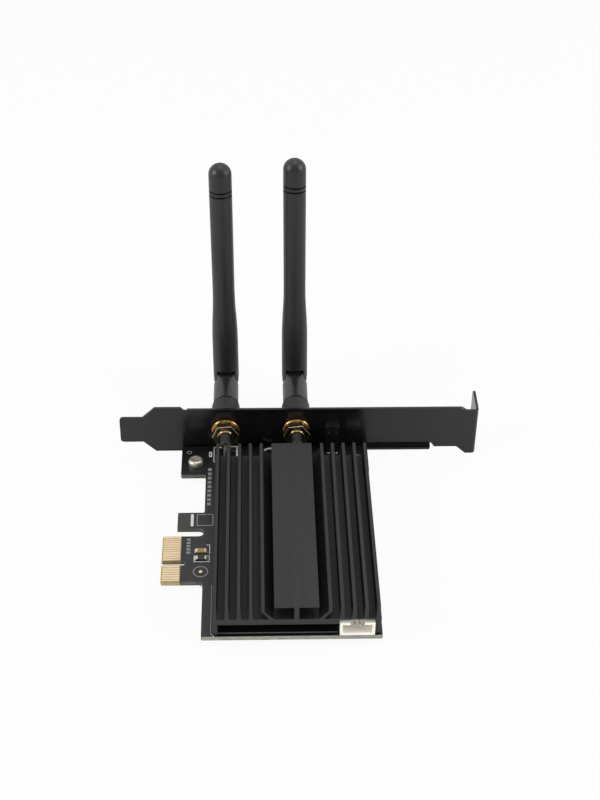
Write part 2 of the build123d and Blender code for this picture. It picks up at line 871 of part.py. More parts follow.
def antenna(side, x, lean, swivel):
    """One antenna: the collar on the jack, the swivelling base, the hinge pin and the stick."""
    axis = Plane(origin=(x, 0, jack_z), x_dir=(1, 0, 0), z_dir=(0, 1, 0))
    with BuildPart() as collar:
        with BuildSketch(axis.offset(collar_near)):
            Circle(collar_diameter / 2)
            with PolarLocations(collar_diameter / 2, collar_ribs):
                Rectangle(knurl_depth * sqrt(2), knurl_depth * sqrt(2), rotation=45, mode=Mode.SUBTRACT)
        extrude(amount=collar_length - collar_band)
        rod(axis, collar_diameter - 2 * knurl_depth, collar_band, collar_far - collar_band)
        bore(axis, jack_thread + 2 * thread_play, collar_length - collar_wall, collar_near)
        bore(axis, spigot_diameter + 2 * spigot_play, collar_wall, collar_floor)
    save(collar, f"{side}_antenna_collar")
    with BuildPart() as insert:
        rod(axis, insert_flange, insert_flange_depth, flange_far - insert_flange_depth)
        rod(axis, spigot_diameter, base_near + spigot_seat - flange_far, flange_far)
        bore(axis, insert_bore, collar_length, flange_far - insert_flange_depth)
    save(insert, f"{side}_antenna_insert")

    # The knuckle turns with the swivel, so its pin and its tongue share one tilted plane
    turn = radians(swivel)
    pin_axis = Vector(cos(turn), 0, -sin(turn))
    knuckle = Vector(x, pin_y, jack_z)
    across = Plane(origin=knuckle, x_dir=(0, 1, 0), z_dir=pin_axis)
    with BuildPart() as tongue:
        with BuildSketch(Plane(origin=(x, shoulder, jack_z), x_dir=pin_axis, z_dir=(0, 1, 0))):
            Circle(base_diameter / 2)
            Rectangle(tongue_thickness, 2 * tongue_radius, mode=Mode.INTERSECT)
        extrude(amount=pin_y + tongue_radius - shoulder)
        with BuildSketch(across):
            Circle(tongue_radius)
            with Locations((shoulder - pin_y, 0)):
                Rectangle(pin_y - shoulder, 2 * tongue_radius, align=(Align.MIN, Align.CENTER))
            Circle(hinge_pin / 2 + pin_play, mode=Mode.SUBTRACT)
        extrude(amount=tongue_thickness, both=True, mode=Mode.INTERSECT)
    with BuildPart() as base:
        rod(axis, base_diameter, shoulder - base_near, base_near)
        chamfer(base.edges().group_by(Axis.Y)[0], base_chamfer)
        bore(axis, spigot_diameter, spigot_seat, base_near)
        add(tongue.part)
    save(base, f"{side}_antenna_base")

    pitch = radians(lean)
    heading = Vector(cos(pitch) * sin(turn), sin(pitch), cos(pitch) * cos(turn))
    section = Plane(origin=knuckle, x_dir=pin_axis, z_dir=pin_axis.cross(heading))
    fork_radius = fork_diameter / 2
    tip_radius = stick_tip / 2
    with BuildPart() as stick:
        with BuildSketch(section):
            with BuildLine():
                Line((0, -fork_radius), (0, stick_length))
                RadiusArc((0, stick_length), (tip_radius, stick_length - tip_radius), tip_radius)
                for i in range(2):
                    edge = stick_length - groove_from_tip - i * groove_spacing
                    upper = stick_length - tip_radius if i == 0 else edge + groove_spacing - groove_width
                    Polyline(
                        (tip_radius, upper),
                        (tip_radius, edge),
                        (tip_radius - groove_depth, edge - groove_width / 2),
                        (tip_radius, edge - groove_width),
                    )
                groove_end = stick_length - groove_from_tip - groove_spacing - groove_width
                Line((tip_radius, groove_end), (stick_waist / 2, waist_from_pin))
                neck_middle = ((stick_waist / 2 + fork_radius) / 2, (waist_from_pin + fork_straight) / 2)
                TangentArc((stick_waist / 2, waist_from_pin), neck_middle, tangent=(0, -1))
                TangentArc((fork_radius, fork_straight), neck_middle, tangent=(0, 1))
                Line((fork_radius, fork_straight), (fork_radius, 0))
                RadiusArc((fork_radius, 0), (0, -fork_radius), fork_radius)
            make_face()
        revolve(axis=Axis(knuckle, heading))
        crotch = tongue_radius + fork_gap
        with BuildSketch(section):
            with Locations((0, crotch)):
                Rectangle(fork_slot, crotch + fork_diameter, align=(Align.CENTER, Align.MAX))
        extrude(amount=fork_diameter, both=True, mode=Mode.SUBTRACT)
        with BuildSketch(across):
            Circle(hinge_pin / 2)
        extrude(amount=fork_diameter, both=True, mode=Mode.SUBTRACT)
    save(stick, f"{side}_antenna_stick")
    with BuildPart() as pin:
        with BuildSketch(across):
            Circle(hinge_pin / 2)
        extrude(amount=fork_diameter / 2 - base_chamfer, both=True)
    save(pin, f"{side}_hinge_pin")


for side, (x, lean, swivel) in antenna_sides.items():
    jack(side, x)
    cable(side)
    antenna(side, x, lean, swivel)
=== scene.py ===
import bmesh
import bpy
import json
import math
from mathutils import Matrix, Vector


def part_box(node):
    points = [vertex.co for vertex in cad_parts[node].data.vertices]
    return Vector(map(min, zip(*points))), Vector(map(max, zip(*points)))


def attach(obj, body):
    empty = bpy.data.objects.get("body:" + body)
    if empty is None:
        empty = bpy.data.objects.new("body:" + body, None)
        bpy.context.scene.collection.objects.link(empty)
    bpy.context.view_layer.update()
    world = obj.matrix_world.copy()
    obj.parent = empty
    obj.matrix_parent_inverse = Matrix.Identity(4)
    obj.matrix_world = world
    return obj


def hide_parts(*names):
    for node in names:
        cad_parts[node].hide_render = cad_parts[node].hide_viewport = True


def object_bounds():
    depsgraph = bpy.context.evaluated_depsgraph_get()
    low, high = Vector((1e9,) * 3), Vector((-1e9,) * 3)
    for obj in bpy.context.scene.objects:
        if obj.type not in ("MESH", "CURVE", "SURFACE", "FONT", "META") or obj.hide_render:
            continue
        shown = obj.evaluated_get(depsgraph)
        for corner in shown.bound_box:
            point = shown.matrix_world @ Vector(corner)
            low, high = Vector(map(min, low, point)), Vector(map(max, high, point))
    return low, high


# A wireless network card on a white studio floor. Lengths below are in millimetres, and MM turns them
# into the metres of the frame. X runs along the bracket, Y out through it, Z up from the board.

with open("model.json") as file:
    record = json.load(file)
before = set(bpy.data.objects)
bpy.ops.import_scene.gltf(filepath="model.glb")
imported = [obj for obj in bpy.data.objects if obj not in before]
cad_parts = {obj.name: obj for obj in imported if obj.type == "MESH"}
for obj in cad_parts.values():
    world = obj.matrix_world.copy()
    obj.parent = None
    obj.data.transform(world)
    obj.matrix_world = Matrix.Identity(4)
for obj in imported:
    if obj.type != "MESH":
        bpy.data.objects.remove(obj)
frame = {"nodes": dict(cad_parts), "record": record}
cad_low, cad_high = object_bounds()
nodes = frame["nodes"]
body_of = {
    node: body
    for body, members in frame["record"]["behaviour"]["bodies"].items()
    for node in members
}
MM = 0.001
SIDES = ("left", "right")


# Materials

NOISE_LOW = 0.3
NOISE_HIGH = 0.7
DRIFT = 12
WEAVE_PITCH = 0.6
WAVES_PER_UNIT = 20


def colour(code):
    """A hex colour as linear red, green, blue and alpha."""
    linear = []
    for i in (0, 2, 4):
        part = int(code[i:i + 2], 16) / 255
        linear.append(part / 12.92 if part <= 0.04045 else ((part + 0.055) / 1.055) ** 2.4)
    return (*linear, 1.0)


def shader_of(material):
    return material.node_tree.nodes["Principled BSDF"]


def new_material(name, sockets):
    """A material with one principled shader, and the sockets that are the same all over it."""
    material = bpy.data.materials.new(name)
    material.use_nodes = True
    for socket, value in sockets.items():
        shader_of(material).inputs[socket].default_value = value
    return material


def noise(material, marks_per_mm, stretch=(1, 1, 1), detail=3.0):
    """Noise on the object's own coordinates; a stretch over 1 draws the marks out along that axis."""
    tree = material.node_tree
    place = tree.nodes.new("ShaderNodeTexCoord")
    mapping = tree.nodes.new("ShaderNodeMapping")
    mapping.inputs["Scale"].default_value = [marks_per_mm / MM / share for share in stretch]
    texture = tree.nodes.new("ShaderNodeTexNoise")
    texture.inputs["Scale"].default_value = 1.0
    texture.inputs["Detail"].default_value = detail
    tree.links.new(place.outputs["Object"], mapping.inputs["Vector"])
    tree.links.new(mapping.outputs["Vector"], texture.inputs["Vector"])
    return texture.outputs["Fac"]


def vary_colour(material, factor, dark, light):
    """Let the colour wander between two values over the middle of the noise."""
    tree = material.node_tree
    ramp = tree.nodes.new("ShaderNodeValToRGB")
    ramp.color_ramp.elements[0].position = NOISE_LOW
    ramp.color_ramp.elements[1].position = NOISE_HIGH
    ramp.color_ramp.elements[0].color = colour(dark)
    ramp.color_ramp.elements[1].color = colour(light)
    tree.links.new(factor, ramp.inputs["Fac"])
    tree.links.new(ramp.outputs["Color"], shader_of(material).inputs["Base Color"])


def vary_roughness(material, factor, smooth, rough):
    """Let the roughness wander between two values."""
    tree = material.node_tree
    spread = tree.nodes.new("ShaderNodeMapRange")
    spread.inputs["From Min"].default_value = NOISE_LOW
    spread.inputs["From Max"].default_value = NOISE_HIGH
    spread.inputs["To Min"].default_value = smooth
    spread.inputs["To Max"].default_value = rough
    tree.links.new(factor, spread.inputs["Value"])
    tree.links.new(spread.outputs["Result"], shader_of(material).inputs["Roughness"])


def add_bump(material, height, depth_mm, strength=1.0):
    """Raise the surface by a height between 0 and 1, to a depth in millimetres. Bumps add up."""
    tree = material.node_tree
    normal = shader_of(material).inputs["Normal"]
    bump = tree.nodes.new("ShaderNodeBump")
    bump.inputs["Distance"].default_value = depth_mm * MM
    bump.inputs["Strength"].default_value = strength
    tree.links.new(height, bump.inputs["Height"])
    if normal.is_linked:
        tree.links.new(normal.links[0].from_socket, bump.inputs["Normal"])
    tree.links.new(bump.outputs["Normal"], normal)


def plain_finish(name, dark, light, smooth, rough, marks, depth, stretch=(1, 1, 1), metal=0.0):
    """A finish whose colour, gloss and height follow one grain, with a slower drift of gloss over it."""
    material = new_material(name, {"Metallic": metal})
    grain = noise(material, marks, stretch)
    vary_colour(material, grain, dark, light)
    drift = noise(material, marks / DRIFT, stretch, detail=2.0)
    vary_roughness(material, drift, smooth, rough)
    add_bump(material, grain, depth)
    return material


def woven_mask():
    """Black solder mask over glass cloth: a faint square weave, and dust-fine speckle."""
    material = new_material("board_mask", {"Specular IOR Level": 0.5})
    tree = material.node_tree
    speckle = noise(material, 5.0)
    vary_colour(material, speckle, "0d0d0f", "161619")
    vary_roughness(material, noise(material, 0.25), 0.34, 0.42)
    place = tree.nodes.new("ShaderNodeTexCoord")
    for direction in ("X", "Y"):
        weave = tree.nodes.new("ShaderNodeTexWave")
        weave.bands_direction = direction
        weave.inputs["Scale"].default_value = 1 / (WEAVE_PITCH * MM) / WAVES_PER_UNIT
        weave.inputs["Distortion"].default_value = 0.6
        tree.links.new(place.outputs["Object"], weave.inputs["Vector"])
        add_bump(material, weave.outputs["Fac"], 0.004, 0.5)
    add_bump(material, speckle, 0.003, 0.6)
    return material


def clear_lens():
    """The lamp's moulded lens: milky, lit through a little, with a smooth skin."""
    material = new_material("lamp_lens_clear", {"Transmission Weight": 0.55, "IOR": 1.5})
    haze = noise(material, 2.0)
    vary_colour(material, haze, "d3d6d8", "f2f3f2")
    vary_roughness(material, noise(material, 0.6), 0.12, 0.25)
    return material


ALONG_Y = (1, 60, 1)
ALONG_X = (60, 1, 1)
mask = woven_mask()
# Cut edges other than the near one: a darker copy of the edge laminate, as painted shade.
shaded_laminate_edge = plain_finish("laminate_edge_painted_shade", "4c4d47", "6b6c64", 0.6, 0.75, 3.0, 0.02, (8, 8, 1))
laminate = plain_finish("laminate_edge", "7d7e74", "a3a396", 0.6, 0.75, 3.0, 0.02, (8, 8, 1))
bevel_laminate = plain_finish("laminate_bevel", "ad9a5e", "cbb878", 0.45, 0.6, 3.0, 0.02, (1, 8, 1))
contact_edge = plain_finish("laminate_by_contacts", "ab9064", "c6ac80", 0.45, 0.6, 4.0, 0.02, (8, 8, 1))
# The key's wall: a darker copy of the laminate by the contacts, as painted shade for the slot's shadow.
key_wall_painted_shade = plain_finish("laminate_in_key_painted_shade", "86744a", "a59062", 0.5, 0.65, 4.0, 0.02, (8, 8, 1))
bare_laminate = plain_finish("laminate_bare", "b39c74", "c9b38c", 0.4, 0.5, 3.0, 0.006, (1, 8, 1))
anodised = plain_finish("anodised_black", "0a0a0b", "121213", 0.54, 0.64, 5.0, 0.006, ALONG_Y)
saw_cut = plain_finish("anodised_saw_cut", "151516", "222223", 0.46, 0.58, 6.0, 0.012, ALONG_X)
coated = plain_finish("coated_black", "0c0c0d", "141415", 0.19, 0.26, 1.1, 0.006)
gold = plain_finish("gold_plate", "a98450", "cfae7a", 0.15, 0.26, 2.5, 0.003, metal=1.0)
# Inside of the flange's bend: the coat with little reflection, a painted shade that hides the bend's
# highlight.
bend_coat_painted_shade = plain_finish("coated_black_bend_painted_shade", "0c0c0d", "141415", 0.5, 0.6, 1.1, 0.006)
shader_of(bend_coat_painted_shade).inputs["Specular IOR Level"].default_value = 0.1
pale_gold = plain_finish("gold_plate_pale", "b9a37c", "dccaa8", 0.15, 0.26, 2.5, 0.003, metal=1.0)
finger_gold = plain_finish(
    "gold_fingers", "d9bf9a", "ecd9ba", 0.28, 0.42, 4.0, 0.003, (12, 1, 1), metal=1.0)
washer_gold = plain_finish("gold_plate_uneven", "7a5a30", "c39c64", 0.2, 0.3, 1.1, 0.05, metal=1.0)
brass = plain_finish("brass_bare", "b99a5c", "d3b678", 0.22, 0.36, 3.0, 0.004, metal=1.0)
steel = plain_finish("steel_plain", "9c9c9a", "b7b6b2", 0.24, 0.36, 3.0, 0.004, metal=1.0)
nickel = plain_finish("nickel_plate", "b6b0a2", "d8d2c4", 0.30, 0.42, 3.0, 0.006, metal=0.85)
# Lamp leads and their solder: a darkened copy of the tin, as painted shade for the shadow they sit in.
shaded_tin = plain_finish("tin_painted_shade", "55534e", "75736c", 0.30, 0.42, 4.0, 0.008, metal=1.0)
tin = plain_finish("tin_solder", "b9b7af", "dedcd4", 0.32, 0.46, 4.0, 0.008, metal=0.6)
cream = plain_finish("cream_nylon", "f3eee1", "fbf8f0", 0.38, 0.50, 2.0, 0.006)
black_nylon = plain_finish("black_nylon_moulded", "0c0c0c", "131313", 0.36, 0.48, 3.0, 0.008)
shield_metal = plain_finish("shield_tinplate", "a8a69f", "bfbdb6", 0.24, 0.36, 1.5, 0.004, metal=1.0)
soft_pad = plain_finish("soft_pad_grey", "64717c", "74828e", 0.75, 0.9, 3.0, 0.03)
module_mask = plain_finish("module_mask_green", "10271b", "193524", 0.28, 0.38, 2.0, 0.004)
lens = clear_lens()
chip_black = plain_finish("chip_black", "141414", "1f1f1f", 0.35, 0.5, 6.0, 0.006)
chip_tan = plain_finish("chip_tan", "9a7440", "c69f5e", 0.4, 0.55, 6.0, 0.008)
polymer = plain_finish("white_polymer_turned", "e7e7e2", "f3f3ef", 0.4, 0.5, 4.0, 0.004)
shrink = plain_finish("shrink_sleeve_dull", "19191a", "262627", 0.46, 0.58, 1.8, 0.03)
jacket = plain_finish("cable_jacket_grey", "343435", "434344", 0.38, 0.5, 3.0, 0.01)
moulded = plain_finish("antenna_moulded", "151515", "1c1c1c", 0.36, 0.44, 5.0, 0.010)
collar_moulded = plain_finish("collar_moulded", "0e0e0e", "151515", 0.40, 0.48, 5.0, 0.010)
smooth_moulded = plain_finish("antenna_moulded_smooth", "1b1b1b", "232323", 0.26, 0.34, 5.0, 0.008)
# Gaps between the collar's ribs and the grooves near the stick's tip: near black with little reflection, as
# painted shade in those recesses.
groove_painted_shade = plain_finish("antenna_groove_painted_shade", "050505", "0a0a0a", 0.5, 0.6, 5.0, 0.010)
shader_of(groove_painted_shade).inputs["Specular IOR Level"].default_value = 0.1
ink = plain_finish("board_ink", "e2e2dc", "f4f4ef", 0.55, 0.7, 8.0, 0.01)
# Grey print; on the lines along the near and left edge, under the heatsink, the grey is painted shade over
# white print.
grey_ink_and_shade = plain_finish("board_ink_grey_and_shade", "85857e", "a2a29a", 0.55, 0.7, 8.0, 0.01)
hook_mask = plain_finish("hook_mask", "2b2b28", "383834", 0.34, 0.44, 4.0, 0.006)
trace_mask = plain_finish("mask_over_traces", "17171a", "1f1f23", 0.34, 0.42, 4.0, 0.003)

node_finish = {
    "edge_contacts": finger_gold,
    "heatsink_spacers": brass,
    "heatsink_screws": steel,
    "header_pins": tin,
    "module_board": module_mask,
    "module_socket": black_nylon,
    "module_shield": shield_metal,
    "thermal_pad": soft_pad,
    "module_standoff": brass,
    "module_screw": steel,
    "lamp": lens,
    "lamp_leads": shaded_tin,
}
for side in SIDES:
    node_finish[f"{side}_jack_insulator"] = polymer
    node_finish[f"{side}_jack_contact"] = gold
    node_finish[f"{side}_cable"] = jacket
    node_finish[f"{side}_cable_plug"] = tin
    node_finish[f"{side}_antenna_insert"] = gold
    node_finish[f"{side}_hinge_pin"] = steel
    node_finish[f"{side}_cable_sleeve"] = shrink
for node, material in node_finish.items():
    nodes[node].material_slots[0].material = material


# Dressed copies of the nodes whose edges or faces need more than one finish

WELD = 1e-4 * MM
FLAT = math.radians(0.4)
SHARP = math.radians(30)


def whole_faces(node):
    """A copy of a node's mesh, with its vertices joined and its flat faces whole again."""
    bm = bmesh.new()
    bm.from_mesh(nodes[node].data)
    bmesh.ops.remove_doubles(bm, verts=bm.verts, dist=WELD)
    bmesh.ops.dissolve_limit(bm, angle_limit=FLAT, verts=bm.verts, edges=bm.edges)
    return bm


def break_edges(bm, width):
    """Round every sharp edge by a width in millimetres."""
    sharp = [
        edge for edge in bm.edges
        if len(edge.link_faces) == 2 and edge.calc_face_angle() > SHARP
    ]
    bmesh.ops.bevel(
        bm, geom=sharp, offset=width * MM, segments=2, profile=0.5, affect="EDGES", clamp_overlap=True)


def add_object(name, bm, materials):
    """An object from a bmesh, shaded smooth except over sharp edges."""
    mesh = bpy.data.meshes.new(name)
    bm.to_mesh(mesh)
    bm.free()
    for material in materials:
        mesh.materials.append(material)
    mesh.shade_smooth()
    mesh.set_sharp_from_angle(angle=SHARP)
    obj = bpy.data.objects.new(name, mesh)
    bpy.context.scene.collection.objects.link(obj)
    return obj


def cut_across(bm, x):
    """Divide a mesh's faces where the plane at an X in millimetres crosses them."""
    parts = bm.verts[:] + bm.edges[:] + bm.faces[:]
    bmesh.ops.bisect_plane(bm, geom=parts, plane_co=(x * MM, 0, 0), plane_no=(1, 0, 0), dist=WELD)


def dress(node, materials, edge=0.0, choose=None, cut=None):
    """Stand a copy of a node in its place, with broken edges and a material chosen for each face."""
    bm = whole_faces(node)
    if cut:
        cut_across(bm, cut)
    if choose:
        for face in bm.faces:
            face.material_index = choose(face)
    if edge:
        break_edges(bm, edge)
    piece = add_object(f"{node}_dressed", bm, materials)
    if edge:
        piece.modifiers.new("even_normals", "WEIGHTED_NORMAL").keep_sharp = True
    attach(piece, body_of[node])
    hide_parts(node)
    return piece


# Shares of a face normal along an axis, from which a face counts as square to it, facing it or sloped
SQUARE = 0.99
FACING = 0.9
SLOPED = 0.1
SIDEWAYS = 0.5


def faces_up_or_down(face):
    return abs(face.normal.z) > SQUARE


contacts_low, contacts_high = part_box("edge_contacts")
MASK_GAP = 0.25
MASK_START = contacts_high.x / MM + MASK_GAP
KEY_HALF = 1.2
BESIDE_CONTACTS = 1.0
NEAR_EDGE = -20.0


def board_face(face):
    """0 masked, 1 near cut edge, 2 bevel, 3 edges by the contacts, 4 in the key and 5 other cut edges, both
    darker copies of the laminate as painted shade.
    """
    if faces_up_or_down(face):
        return 0
    if abs(face.normal.z) > SLOPED:
        return 2
    middle = face.calc_center_median() / MM
    from_near = middle.y - contacts_low.y / MM
    from_far = contacts_high.y / MM - middle.y
    by_connector = min(from_near, from_far) > -BESIDE_CONTACTS
    if by_connector and abs(middle.y) < KEY_HALF:
        return 4 if middle.x < MASK_START else 5
    if by_connector and middle.x < MASK_START:
        return 3
    return 1 if face.normal.y < -FACING and middle.y < NEAR_EDGE else 5


def bracket_face(face):
    """0 for the coat, 1 for the inside of the flange's bend, made rough and weakly reflecting to hide its
    highlight line: painted shade.
    """
    return 1 if face.normal.y < -SLOPED and face.normal.z > SLOPED else 0


def sink_face(face):
    """0 for extruded faces, 1 for the saw-cut ends."""
    return 1 if abs(face.normal.y) > SQUARE else 0


chip_low, chip_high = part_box("chip_parts")
CHIP_CAP = 0.5
CHIP_LENGTH = 3.2
CHIP_BODY_HALF = (CHIP_LENGTH / 2 - CHIP_CAP) * 1.001  # a hair over, for faces on the limit
chip_split = (chip_low.y + chip_high.y) / 2


def chip_face(face):
    """0 for metal caps, 1 for the near chip's body, 2 for the far one's."""
    near = face.calc_center_median().y < chip_split
    centre = chip_high.x - CHIP_LENGTH / 2 * MM if near else chip_low.x + CHIP_LENGTH / 2 * MM
    off_centre = abs(face.calc_center_median().x - centre)
    if off_centre > CHIP_BODY_HALF * MM:
        return 0
    return 1 if near else 2


# Widths of the broken edges
CHIP_EDGE = 0.04
SMALL_EDGE = 0.08
TURNED_EDGE = 0.1
STRAIGHT_EDGE = 0.12
BASE_EDGE = 0.15
SOFT_EDGE = 0.2

board_finishes = [mask, laminate, bevel_laminate, contact_edge, key_wall_painted_shade, shaded_laminate_edge]
dress("board", board_finishes, 0.0, board_face, MASK_START)
dress("heatsink", [anodised, saw_cut], STRAIGHT_EDGE, sink_face)
dress("bracket", [coated, bend_coat_painted_shade], SOFT_EDGE, bracket_face)
dress("bracket_screws", [nickel], SMALL_EDGE)
dress("header_housing", [cream], SMALL_EDGE)
dress("lamp_holder", [black_nylon], STRAIGHT_EDGE)
dress("chip_parts", [tin, chip_black, chip_tan], CHIP_EDGE, chip_face)

# Depth of the collar ribs, and the grooves by distance from the tip and reach to each side
RIB_DEPTH = 0.15
GROOVES = (9.2, 10.7)
GROOVE_REACH = 0.33


def collar_face(side):
    """A chooser for one collar: 0 for its skin, 1 for the gaps between its ribs, which get painted shade."""
    low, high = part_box(f"{side}_antenna_collar")
    centre = (low + high) / 2
    skin = (high.x - low.x) / 2 - RIB_DEPTH * MM

    def choose(face):
        offset = face.calc_center_median() - centre
        return 1 if abs(face.normal.y) < SIDEWAYS and math.hypot(offset.x, offset.z) < skin else 0
    return choose


def stick_face(side):
    """A chooser for one stick: 0 for its skin, 1 for the grooves near its tip, which get painted shade."""
    pin_low, pin_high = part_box(f"{side}_hinge_pin")
    pin = (pin_low + pin_high) / 2
    points = [vertex.co for vertex in nodes[f"{side}_antenna_stick"].data.vertices]
    tip = max(points, key=lambda point: (point - pin).length)
    axis = (tip - pin).normalized()

    def choose(face):
        from_tip = (tip - face.calc_center_median()).dot(axis) / MM
        return 1 if any(abs(from_tip - place) < GROOVE_REACH for place in GROOVES) else 0
    return choose


for side in SIDES:
    dress(f"{side}_jack", [pale_gold], SOFT_EDGE)
    dress(f"{side}_jack_washer", [washer_gold], TURNED_EDGE)
    dress(f"{side}_jack_nut", [gold], TURNED_EDGE)
    dress(f"{side}_antenna_collar", [collar_moulded, groove_painted_shade], 0.0, collar_face(side))
    dress(f"{side}_antenna_base", [smooth_moulded], BASE_EDGE)
    dress(f"{side}_antenna_stick", [moulded, groove_painted_shade], STRAIGHT_EDGE, stick_face(side))


# Marks and solder on the board

MARK_HEIGHT = 0.02
LINE = 0.3
MITRE_LIMIT = 0.3
TARGET_MARK = (12.2, -3.8)
TARGET_RING = 2.2
TARGET_PAD = 0.55


def plate(bm, outline, low, high):
    """A flat plate with the given outline, between two heights."""
    below = [bm.verts.new((x * MM, y * MM, low * MM)) for x, y in outline]
    above = [bm.verts.new((x * MM, y * MM, high * MM)) for x, y in outline]
    bm.faces.new(below[::-1])
    bm.faces.new(above)
    for i in range(len(outline)):
        j = (i + 1) % len(outline)
        bm.faces.new((below[i], below[j], above[j], above[i]))


def rectangle(left, right, near, far):
    return [(left, near), (right, near), (right, far), (left, far)]


def bar(bm, left, right, near, far, low=0.0, high=MARK_HEIGHT):
    """A flat upright-sided bar, as a printed mark unless other heights are given."""
    plate(bm, rectangle(left, right, near, far), low, high)


def mitre(before, corner, after, half):
    """The two points of a mitred line at a corner, left then right of its run."""
    run_in = (corner - before).normalized() if before else None
    run_out = (after - corner).normalized() if after else None
    along = ((run_in or run_out) + (run_out or run_in)).normalized()
    across = Vector((-along.y, along.x))
    run = run_in or run_out
    reach = half / max(across.dot(Vector((-run.y, run.x))), MITRE_LIMIT)
    return corner + across * reach, corner - across * reach


def stroke(bm, points, width=LINE, closed=False, low=0.0, high=MARK_HEIGHT):
    """A flat line of a width through the points, with mitred corners."""
    path = [Vector(point) for point in points]
    count = len(path)
    sides = []
    for i, corner in enumerate(path):
        before = path[i - 1] if closed or i > 0 else None
        after = path[(i + 1) % count] if closed or i < count - 1 else None
        sides.append(mitre(before, corner, after, width / 2))
    for i in range(count if closed else count - 1):
        left, right = sides[i]
        next_left, next_right = sides[(i + 1) % count]
        plate(bm, [right, next_right, next_left, left], low, high)


def circle(centre, radius, count=40):
    """Points round a circle."""
    return [
        (centre[0] + radius * math.cos(2 * math.pi * i / count),
         centre[1] + radius * math.sin(2 * math.pi * i / count))
        for i in range(count)
    ]


def arc(centre, radius, start, end, count=16):
    """Points along an arc between two angles in degrees."""
    angles = [math.radians(start + (end - start) * i / count) for i in range(count + 1)]
    return [(centre[0] + radius * math.cos(a), centre[1] + radius * math.sin(a)) for a in angles]


def round_bar(bm, x, near, far, width):
    """A bar along Y with round ends."""
    half = width / 2
    plate(bm, arc((x, near + half), half, 180, 360) + arc((x, far - half), half, 0, 180), 0.0, MARK_HEIGHT)


def dashes(bm, left, right, near, pitch, length, count):
    """A column of equal bars along Y."""
    for i in range(count):
        bar(bm, left, right, near + i * pitch, near + i * pitch + length)


def on_card(name, bm, materials):
    """A piece that rides on the card."""
    piece = add_object(name, bm, materials)
    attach(piece, "card")
    return piece


# Printed lines: the points of each, its width, and whether it closes
BRIGHT_LINES = (
    (rectangle(13.95, 14.6, 50.25, 52.45), 0.3, True),          # small outline by the screw tab
    ([(20.9, 55.4), (23.1, 55.4), (23.1, 50.1)], 0.45, False),  # corner under the left jack
    (arc((34.3, 51.75), 2.5, 75, 158), 0.85, False),            # part of a ring behind the heatsink
    (rectangle(10.1, 14.8, 0.5, 3.05), 0.22, True),             # outline round the near chip part
    ([(13.8, 7.9), (14.8, 7.9), (14.85, 3.9)], 0.22, False),    # corner beside the far chip part
    ([(15.9, -29.7), (16.7, -30.7)], 0.25, False),              # tick at the near corner
)
# Grey print; the lines along the near and left edge, under the heatsink, are grey as painted shade.
GREY_AND_SHADED_LINES = (
    (circle((7.18, 52.45), 0.7), 0.28, True),                   # ring beside the bracket screw
    ([(16.4, 54.95), (15.45, 54.95), (15.45, 47.6), (16.1, 47.6)], 0.55, False),  # clasp by the first fin
    (rectangle(10.6, 15.6, 16.8, 21.9), 0.3, True),             # square beside the hook
    (circle(TARGET_MARK, TARGET_RING), 0.3, True),              # ring round the target pad
    ([(53.4, -29.4), (17.75, -29.4), (17.75, -25.0)], 0.2, False),  # line along the near edge
    ([(15.75, -29.5), (15.75, -9.5)], 0.18, False),             # line along the left edge
)
# Bars and pads: left, right, near and far side
BRIGHT_BARS = ((17.2, 18.1, 54.7, 55.2), (33.7, 34.4, 50.1, 50.8))
PAD_BARS = ((20.9, 22.5, 54.15, 55.0), (20.9, 22.5, 52.8, 53.5))
HOOK_PATCH = (4.6, 8.3, 15.6, 22.6)
# The round-ended bar on the hook: its middle, near and far end, and width
HOOK_BAR = (9.02, 16.45, 22.2, 0.95)
# Columns of dashes: left and right side, near end, pitch, length and count
DASH_COLUMNS = ((13.6, 14.8, 26.2, 2.1, 1.3, 9), (7.6, 8.8, 4.1, 1.45, 0.95, 5))

marks = bmesh.new()
for points, width, closed in BRIGHT_LINES:
    stroke(marks, points, width, closed)
for sides in BRIGHT_BARS:
    bar(marks, *sides)
round_bar(marks, *HOOK_BAR)
on_card("board_marks", marks, [ink])

grey_and_shaded_marks = bmesh.new()
for points, width, closed in GREY_AND_SHADED_LINES:
    stroke(grey_and_shaded_marks, points, width, closed)
for column in DASH_COLUMNS:
    dashes(grey_and_shaded_marks, *column)
on_card("board_grey_and_shaded_marks", grey_and_shaded_marks, [grey_ink_and_shade])

# Bare places: gold test pads, and the laminate between the contacts
pads = bmesh.new()
for sides in PAD_BARS:
    bar(pads, *sides)
plate(pads, circle(TARGET_MARK, TARGET_PAD), 0.0, MARK_HEIGHT)
on_card("test_pads", pads, [finger_gold])

BARE_HEIGHT = 0.012
BARE_MARGIN = 0.1
BEVEL_END = 0.5
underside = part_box("board")[0].z / MM
bare_spans = (
    (contacts_low.y / MM - BARE_MARGIN, -KEY_HALF),
    (KEY_HALF, contacts_high.y / MM + BARE_MARGIN),
)
bare = bmesh.new()
for near, far in bare_spans:
    bar(bare, BEVEL_END, MASK_START, near, far, 0.0, BARE_HEIGHT)
    bar(bare, BEVEL_END, MASK_START, near, far, underside - BARE_HEIGHT, underside)
on_card("bare_between_contacts", bare, [bare_laminate])

patch = bmesh.new()
bar(patch, *HOOK_PATCH, 0.0, BARE_HEIGHT)
on_card("hook_patch", patch, [hook_mask])

